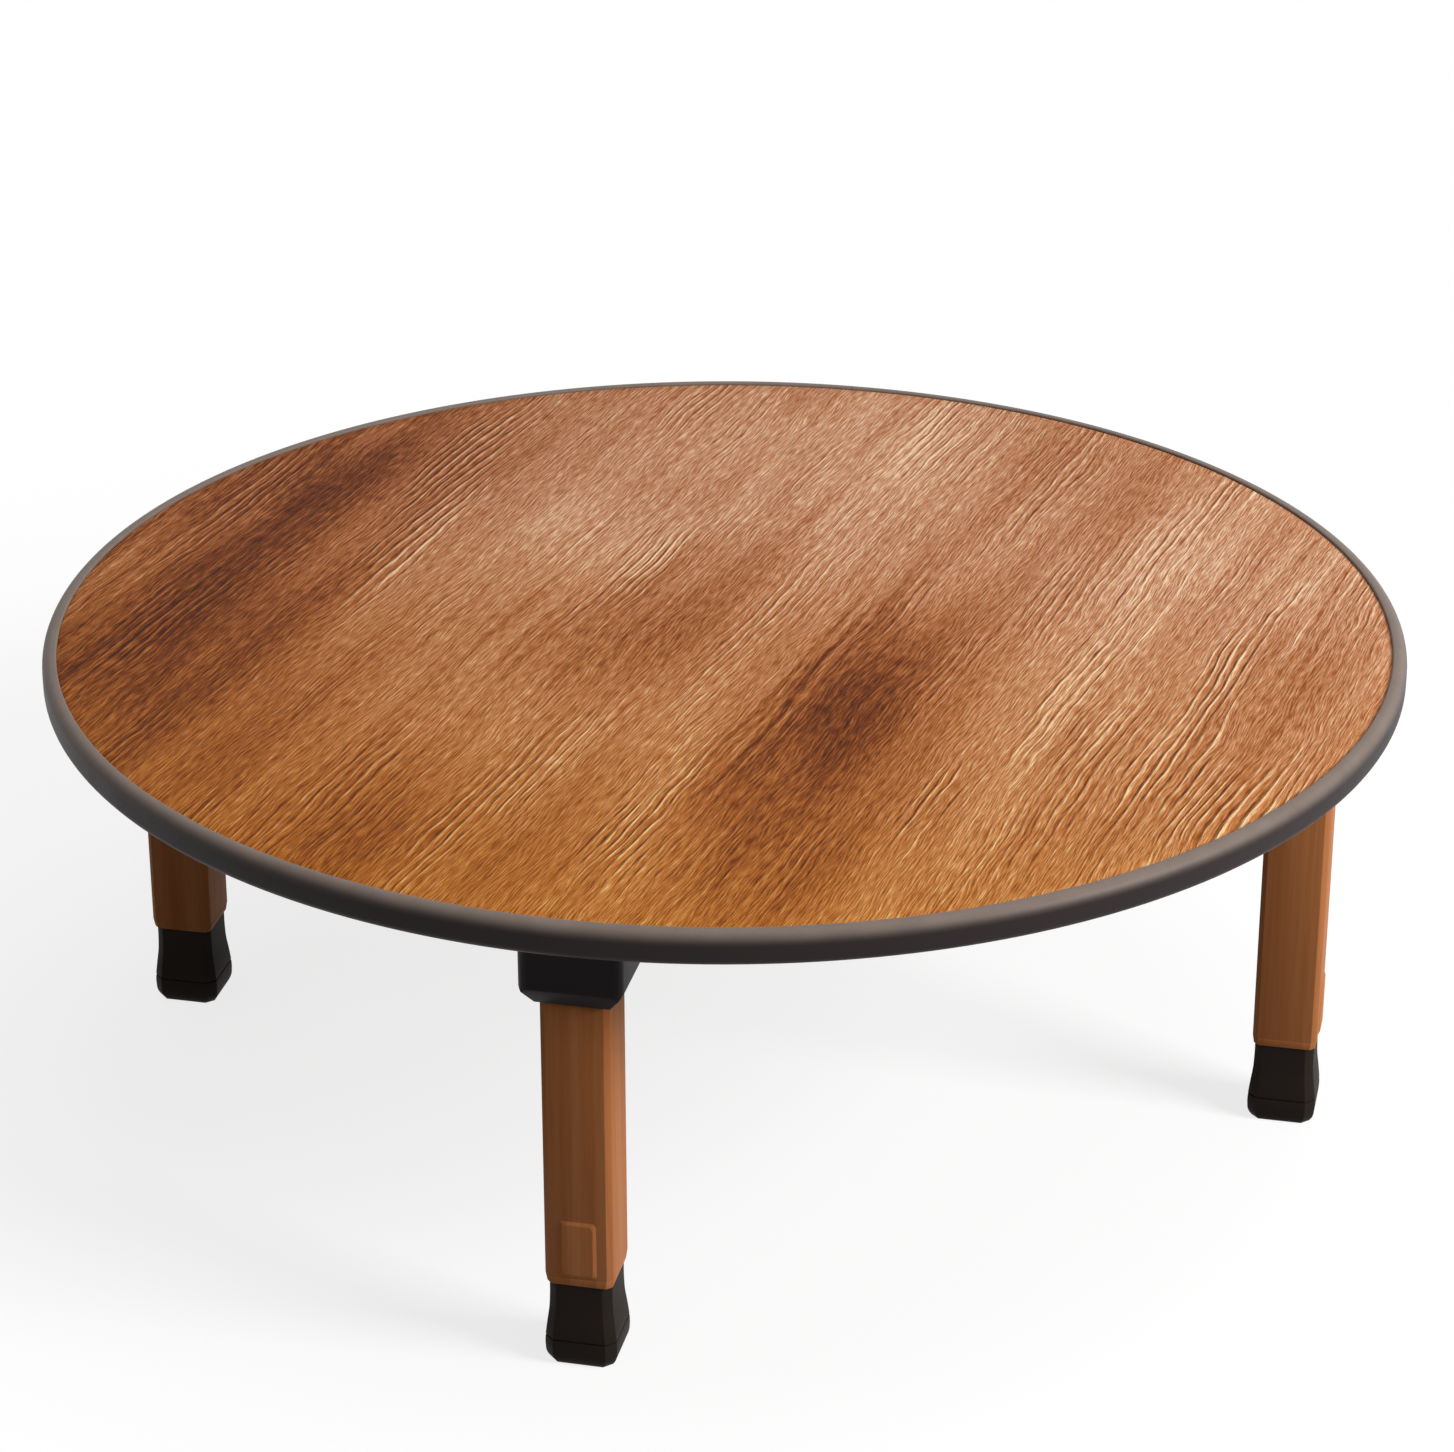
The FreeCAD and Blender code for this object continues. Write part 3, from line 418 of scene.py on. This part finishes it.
def makeBoard(name, codes, chip, roughness):
    # pressed chips or paper fibre: small flat patches of several tones, matt
    finish, tree, place = startFinish(name)
    chips = addNode(tree, "TexVoronoi", {"Vector": place, "Scale": 1 / chip}, "Color")
    tone = addNode(tree, "SeparateColor", {"Color": chips})
    colour = addNode(tree, "ValToRGB", {"Fac": tone}, stops=[
        (position, linear(code)) for position, code in enumerate(codes)
    ])
    grain = addNode(tree, "Bump", {"Height": tone, "Strength": 0.3, "Distance": 0.05 * mm})
    shader = addNode(tree, "BsdfPrincipled", {
        "Base Color": colour, "Normal": grain, "Roughness": roughness,
    })
    addNode(tree, "OutputMaterial", {"Surface": shader})
    return finish


# a moulded finish has its colour, roughness, specular, grit and the grit's depth
finishes = {
    "wood_laminate": makeWood(),
    "sleeve_wood_tone": makeWoodTone(),
    "rim_plastic": makeEdging(),
    "bracket_plastic": makeMoulded(
        "black_nylon_moulding", "1B1417", 0.5, 0.08, 0.6 * mm, 0.03 * mm,
    ),
    "button_plastic": makeMoulded("black_acetal", "1A181A", 0.4, 0.35, 0.6 * mm, 0.01 * mm),
    "foot_rubber": makeMoulded("black_rubber", "28211D", 0.6, 0.06, 0.7 * mm, 0.05 * mm),
    "nylon": makeMoulded("natural_nylon", "D2CCBC", 0.45, 0.5, 0.6 * mm, 0.01 * mm),
    "tube_steel": makeSteel("black_lacquered_steel", "2A2A2C", 0.35, 0.8 * mm),
    "spring_steel": makeSteel("blued_spring_steel", "6C6E75", 0.3, 0.5 * mm),
    "zinc_steel": makeSteel("zinc_plated_steel", "B9BBC0", 0.32, 0.4 * mm),
    "particle_board": makeBoard("chipboard", ("8A6A45", "C4A274"), 2.2 * mm, 0.85),
    "backing_paper": makeBoard("phenolic_backing_paper", ("4A3628", "58432F"), 1.2 * mm, 0.7),
}
print("materials made")


# The board's moulded rim, as (height, radius) points round its section
rim = {
    "vertices": 256,
    "outer": 400, "under": 392, "lip": 391.5, "wall": 396, "tongue": 388,
    "bottom": 270.5, "seat": 272.1, "tongueLow": 279, "tongueHigh": 281.4, "ledge": 287.7,
    "top": 290,
    "seam": 0.3,
}
rimRounds = [  # radius and height of an edge, its rounding in mm and in segments
    ("outer", "top", 6, 10), ("outer", "bottom", 5, 8), ("lip", "top", 1, 4),
]


def makeRim():
    # a ring of vertices climbs round the section, and its ends are bridged
    outline = [
        ("bottom", "under"), ("bottom", "outer"), ("top", "outer"), ("top", "lip"),
        ("ledge", "lip"), ("ledge", "wall"), ("tongueHigh", "wall"), ("tongueHigh", "tongue"),
        ("tongueLow", "tongue"), ("tongueLow", "wall"), ("seat", "wall"), ("seat", "under"),
    ]
    outline = [(rim[height] * mm, rim[radius] * mm) for height, radius in outline]
    height, radius = outline[0]
    bpy.ops.mesh.primitive_circle_add(
        vertices=rim["vertices"], radius=radius, location=(0, 0, height),
    )
    piece = bpy.context.object
    bpy.ops.object.transform_apply()
    editMode()
    bpy.ops.mesh.select_all(action="SELECT")
    climb(outline)
    pick("EDGE", lambda edge: edge.is_boundary)
    bpy.ops.mesh.bridge_edge_loops()
    for edgeRadius, edgeHeight, rounding, segments in rimRounds:
        roundEdges(lambda edge: atHeight(edge, rim[edgeHeight] * mm) and all(
            close(corner.co.xy.length, rim[edgeRadius] * mm) for corner in edge.verts
        ), rounding * mm, segments)

    # the butt joint at the back is a narrow open cut
    for half in (-rim["seam"] / 2, rim["seam"] / 2):
        pick("FACE", lambda face: face.calc_center_median().y > 0)
        bpy.ops.mesh.bisect(plane_co=(half * mm, 0, 0), plane_no=(1, 0, 0))
    pick("FACE", lambda face: face.calc_center_median().y > 0
         and abs(face.calc_center_median().x) < rim["seam"] * mm / 2)
    bpy.ops.mesh.delete(type="FACE")
    for end in (-1, 1):
        pick("EDGE", lambda edge: edge.is_boundary and middle(edge).x * end > 0)
        bpy.ops.mesh.edge_face_add()
    objectMode()
    cleanUp(piece)
    smooth(piece)
    piece.name = "edge_rim_skin"
    hand(piece, "rim_plastic", "tabletop", "edge_rim")


# the laminate; its margin keeps the rounded edge's shading narrow
top = {"vertices": 256, "radius": 391.3, "low": 287.7, "high": 288.5, "edge": 0.25, "margin": 10}


def makeTop():
    low, high = top["low"] * mm, top["high"] * mm
    bpy.ops.mesh.primitive_cylinder_add(
        vertices=top["vertices"], radius=top["radius"] * mm, depth=high - low,
        location=(0, 0, (low + high) / 2),
    )
    piece = bpy.context.object
    bpy.ops.object.transform_apply()
    editMode()
    roundEdges(lambda edge: atHeight(edge, high), top["edge"] * mm, 2)
    pick("FACE", lambda face: close(face.calc_center_median().z, high) and len(face.verts) > 4)
    bpy.ops.mesh.inset(thickness=top["margin"] * mm)
    objectMode()
    smooth(piece)
    piece.name = "top_laminate_skin"
    hand(piece, "wood_laminate", "tabletop", "top_laminate")


# A leg's outer pieces, each modelled on the Z axis as the front leg has it
sleeve = {
    "width": 38, "chamfer": 3, "wall": 4.6, "low": 56, "high": 225.3, "topRound": 3, "edge": 0.5,
}


def octagon(width, chamfer, height):
    # a square ring of edges with its corners cut
    bpy.ops.mesh.primitive_plane_add(size=width * mm, location=(0, 0, height * mm))
    piece = bpy.context.object
    bpy.ops.object.transform_apply()
    editMode()
    bpy.ops.mesh.select_all(action="SELECT")
    bpy.ops.mesh.bevel(offset=chamfer * mm, segments=1, affect="VERTICES")
    bpy.ops.mesh.select_all(action="SELECT")
    bpy.ops.mesh.delete(type="ONLY_FACE")
    bpy.ops.mesh.select_all(action="SELECT")
    return piece


def breakEdges(piece, width, segments, degrees=30):
    modify(piece, "BEVEL", width=width * mm, segments=segments, limit_method="ANGLE",
           angle_limit=math.radians(degrees))


def makeSleeve():
    piece = octagon(sleeve["width"], sleeve["chamfer"], sleeve["low"])
    climb([(sleeve["low"] * mm, 1), (sleeve["high"] * mm, 1)])
    objectMode()
    cleanUp(piece)
    modify(piece, "SOLIDIFY", thickness=sleeve["wall"] * mm, offset=-1, use_even_offset=True)
    editMode()
    face = (sleeve["width"] / 2 - 0.1) * mm
    roundEdges(lambda edge: atHeight(edge, sleeve["high"] * mm) and all(
        max(abs(corner.co.x), abs(corner.co.y)) > face for corner in edge.verts
    ), sleeve["topRound"] * mm, 5)
    objectMode()
    breakEdges(piece, sleeve["edge"], 2)
    onEachLeg(piece, "leg_sleeve", "sleeve_wood_tone")


collar = {"lowWidth": 36.4, "low": 50.5, "wall": 2.2, "edge": 0.4}


def makeCollar():
    piece = octagon(collar["lowWidth"], sleeve["chamfer"], collar["low"])
    climb([(collar["low"] * mm, collar["lowWidth"]), (sleeve["low"] * mm, sleeve["width"])])
    objectMode()
    cleanUp(piece)
    modify(piece, "SOLIDIFY", thickness=collar["wall"] * mm, offset=-1, use_even_offset=True)
    breakEdges(piece, collar["edge"], 2)
    onEachLeg(piece, "leg_collar", "sleeve_wood_tone")


plate = {
    "width": 21, "low": 56.5, "height": 35, "thick": 1.1, "slope": 1.8, "corner": 2, "round": 0.4,
}


def makePlate():
    # a raised plate with sloping sides on the sleeve's outer face
    face = -sleeve["width"] / 2 * mm
    proud = face - plate["thick"] * mm
    centre = (plate["low"] + plate["height"] / 2) * mm
    bpy.ops.mesh.primitive_cube_add(
        size=1, location=(0, (face + proud) / 2, centre),
        scale=(plate["width"] * mm, plate["thick"] * mm, plate["height"] * mm),
    )
    piece = bpy.context.object
    bpy.ops.object.transform_apply()
    editMode()
    pick("FACE", lambda side: close(side.calc_center_median().y, proud))
    shrink = [1 - 2 * plate["slope"] / plate[across] for across in ("width", "height")]
    bpy.ops.transform.resize(value=(shrink[0], 1, shrink[1]), center_override=(0, proud, centre))
    # the sloping corner edges run the plate's whole thickness
    through = 0.9 * plate["thick"] * mm
    roundEdges(lambda edge: abs((edge.verts[1].co - edge.verts[0].co).y) > through,
               plate["corner"] * mm, 4)
    roundEdges(lambda edge: all(close(corner.co.y, proud) for corner in edge.verts),
               plate["round"] * mm, 3)
    objectMode()
    onEachLeg(piece, "cover_plate", "sleeve_wood_tone")


foot = {
    # height and width at each level
    "levels": [
        (0, 34.8), (4, 39.6), (12.5, 40.5), (22.5, 38.5), (33, 35.7), (43, 35), (50.5, 35.1),
    ],
    "grooveAt": 15.5, "grooveSize": 1, "grooveDepth": 0.7, "grooveWidth": 39.9, "corner": 4.6,
    "swell": 2.5, "edge": 2, "breakAt": 38, "plugHalf": 12.6, "plugTop": 94.5,  # degrees, then mm
}


def makeFoot():
    levels = [(height * mm, width * mm) for height, width in foot["levels"]]
    piece = octagon(foot["levels"][0][1], foot["corner"], 0)
    low = (foot["grooveAt"] - foot["grooveSize"] / 2) * mm
    high = low + foot["grooveSize"] * mm
    wide = foot["grooveWidth"] * mm
    narrow = wide - 2 * foot["grooveDepth"] * mm
    climb(levels[:3] + [(low, wide), (low, narrow), (high, narrow), (high, wide)] + levels[3:])
    for height, width in levels[1:-1]:
        roundEdges(lambda edge: atHeight(edge, height), foot["swell"] * mm, 3)
    pick("EDGE", lambda edge: edge.is_boundary and middle(edge).z < levels[1][0])
    bpy.ops.mesh.edge_face_add()
    pick("EDGE", lambda edge: edge.is_boundary)
    bpy.ops.mesh.edge_face_add()
    bpy.ops.mesh.inset(thickness=levels[-1][1] / 2 - foot["plugHalf"] * mm)
    up = {"value": (0, 0, foot["plugTop"] * mm - levels[-1][0])}
    bpy.ops.mesh.extrude_region_move(TRANSFORM_OT_translate=up)
    objectMode()
    cleanUp(piece)
    breakEdges(piece, foot["edge"], 3, foot["breakAt"])
    onEachLeg(piece, "foot", "foot_rubber")


bracket = {
    # the right leg's housing: half width, nose past the leg's centre, bottom and bottom bevels
    "side": 28.5, "nose": 29, "low": 225.7, "bevelTop": 236.2, "bevelFront": 7, "bevelSide": 7.7,
    "bowl": 3.5,  # rounding where the bottom's bevels meet the walls
    "edge": 0.8, "breakAt": 32, "weld": 0.005, "slack": 0.05,  # mm, degrees, mm, mm
}


def isTurn(ends):
    # true for the edges above the bottom's bevels, and for the corner edges between the bevels
    slack = bracket["slack"]
    high = all(abs(end.z - bracket["bevelTop"]) < slack for end in ends)
    if high and all(abs(abs(end.y) - bracket["side"]) < slack for end in ends):
        return True
    inFront = all(
        end.x - legRadius > bracket["nose"] - bracket["bevelFront"] - slack
        and abs(end.y) > bracket["side"] - bracket["bevelSide"] - slack
        and end.z < bracket["bevelTop"] + slack for end in ends
    )
    return inFront and max(end.z for end in ends) > bracket["low"] + 1


def softenBrackets():
    # the moulded housings under the board, with their edges broken
    for side, angle in sides.items():
        spin = Matrix.Rotation(-math.radians(angle), 3, "Z")
        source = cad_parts[f"hinge_bracket_{side}"]
        name = f"{source.name}_skin"
        piece = bpy.data.objects.new(name, source.data.copy())
        piece.data.name = name
        bpy.context.scene.collection.objects.link(piece)
        bpy.ops.object.select_all(action="DESELECT")
        piece.select_set(True)
        bpy.context.view_layer.objects.active = piece
        editMode()
        bpy.ops.mesh.select_all(action="SELECT")
        bpy.ops.mesh.remove_doubles(threshold=bracket["weld"] * mm)
        bpy.ops.mesh.dissolve_limited(angle_limit=math.radians(1))
        roundEdges(lambda edge: isTurn([spin @ corner.co / mm for corner in edge.verts]),
                   bracket["bowl"] * mm, 4)
        objectMode()
        breakEdges(piece, bracket["edge"], 2, bracket["breakAt"])
        smooth(piece)
        hand(piece, "bracket_plastic", "tabletop", source.name)


makeRim()
makeTop()
print("board made")
makeSleeve()
makeCollar()
makePlate()
makeFoot()
softenBrackets()
print("legs made")


# CAD nodes that stay, in their finishes
kept = {
    "core_board": "particle_board", "backing_sheet": "backing_paper",
    "bracket_screws": "zinc_steel", "pivot_pin": "zinc_steel", "foot_screw": "zinc_steel",
    "pin_cap": "bracket_plastic", "release_button": "button_plastic",
    "leg_tube": "tube_steel", "pivot_spacer": "nylon", "lock_spring": "spring_steel",
}
for name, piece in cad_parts.items():
    stem = name if name in kept else name.rsplit("_", 1)[0]
    if stem in kept:
        piece.data.materials.clear()
        piece.data.materials.append(finishes[kept[stem]])
print("carried nodes dressed")


stage = {
    "size": 14, "albedo": 0.27, "glow": 0.79,
    "shadowTo": 0.55, "whiteFrom": 1.25,  # metres from the centre
}


def seenDirectly(tree):
    # 1 for what the camera, a mirror or glass sees, 0 for what lights the object
    rays = addNode(tree, "LightPath", {}, "Is Camera Ray").node
    seen = rays.outputs["Is Camera Ray"]
    for other in ("Is Glossy Ray", "Is Transmission Ray"):
        seen = addNode(tree, "Math", {0: seen, 1: rays.outputs[other]}, operation="MAXIMUM")
    return seen


def makeStage():
    # white paper: near the table it shows the soft shadow, and further out it is plain white
    bpy.ops.mesh.primitive_plane_add(size=stage["size"], location=(0, 0, 0))
    floor = bpy.context.object
    floor.name = "floor"
    paper, tree, place = startFinish("white_paper_sweep")
    distance = addNode(tree, "VectorMath", {0: place}, "Value", operation="LENGTH")
    away = addNode(tree, "MapRange", {
        "Value": distance, "From Min": stage["shadowTo"], "From Max": stage["whiteFrom"],
    }, interpolation_type="SMOOTHSTEP")
    matt = addNode(tree, "BsdfDiffuse", {"Color": (stage["albedo"],) * 3 + (1,)})
    glow = addNode(tree, "Emission", {"Color": (1, 1, 1, 1), "Strength": stage["glow"]})
    near = addNode(tree, "AddShader", {0: matt, 1: glow})
    far = addNode(tree, "Emission", {"Color": (1, 1, 1, 1), "Strength": 1})
    shown = addNode(tree, "MixShader", {0: away, 1: near, 2: far})
    surface = addNode(tree, "MixShader", {0: seenDirectly(tree), 1: matt, 2: shown})
    addNode(tree, "OutputMaterial", {"Surface": surface})
    floor.data.materials.append(paper)


lamps = {  # place in metres, size in metres, watts
    "key": ((3.1, -0.75, 2.0), 1.4, 130),
    "overhead": ((0.1, 0.5, 3.2), 2.4, 32),
}
aimHeight = 0.2  # metres, where the lamps point over the centre
world = {"strength": 0.155}


def makeLights():
    for name, (place, size, watts) in lamps.items():
        light = bpy.data.lights.new(name, "AREA")
        light.shape, light.size, light.energy = "SQUARE", size, watts
        lamp = bpy.data.objects.new(name, light)
        bpy.context.scene.collection.objects.link(lamp)
        lamp.location = place
        aim = Vector((0, 0, aimHeight)) - Vector(place)
        lamp.rotation_euler = aim.to_track_quat("-Z", "Y").to_euler()
    studio = bpy.data.worlds.new("studio")
    bpy.context.scene.world = studio
    studio.use_nodes = True
    tree = studio.node_tree
    tree.nodes.clear()
    ends = {"To Min": world["strength"], "To Max": 1}
    strength = addNode(tree, "MapRange", {"Value": seenDirectly(tree), **ends})
    sky = addNode(tree, "Background", {"Color": (1, 1, 1, 1), "Strength": strength})
    addNode(tree, "OutputWorld", {"Surface": sky})


camera = {
    "place": (0.5126, -2.2907, 1.322), "lens": 107.33, "sensor": 36,
    "pan": 12.58, "tilt": 64.83, "roll": -0.04,  # degrees
}


def makeCamera():
    lens = bpy.data.cameras.new("camera")
    lens.lens, lens.sensor_width = camera["lens"], camera["sensor"]
    viewer = bpy.data.objects.new("camera", lens)
    bpy.context.scene.collection.objects.link(viewer)
    # each turn is in the frame of the one before
    turns = [(camera["pan"], "Z"), (camera["tilt"], "X"), (camera["roll"], "Z")]
    viewer.matrix_world = Matrix.Translation(camera["place"])
    for degrees, axis in turns:
        viewer.matrix_world = viewer.matrix_world @ Matrix.Rotation(math.radians(degrees), 4, axis)
    bpy.context.scene.camera = viewer


makeStage()
makeLights()
makeCamera()
bpy.context.scene.view_settings.view_transform = "Standard"
print("stage, lights and camera set")
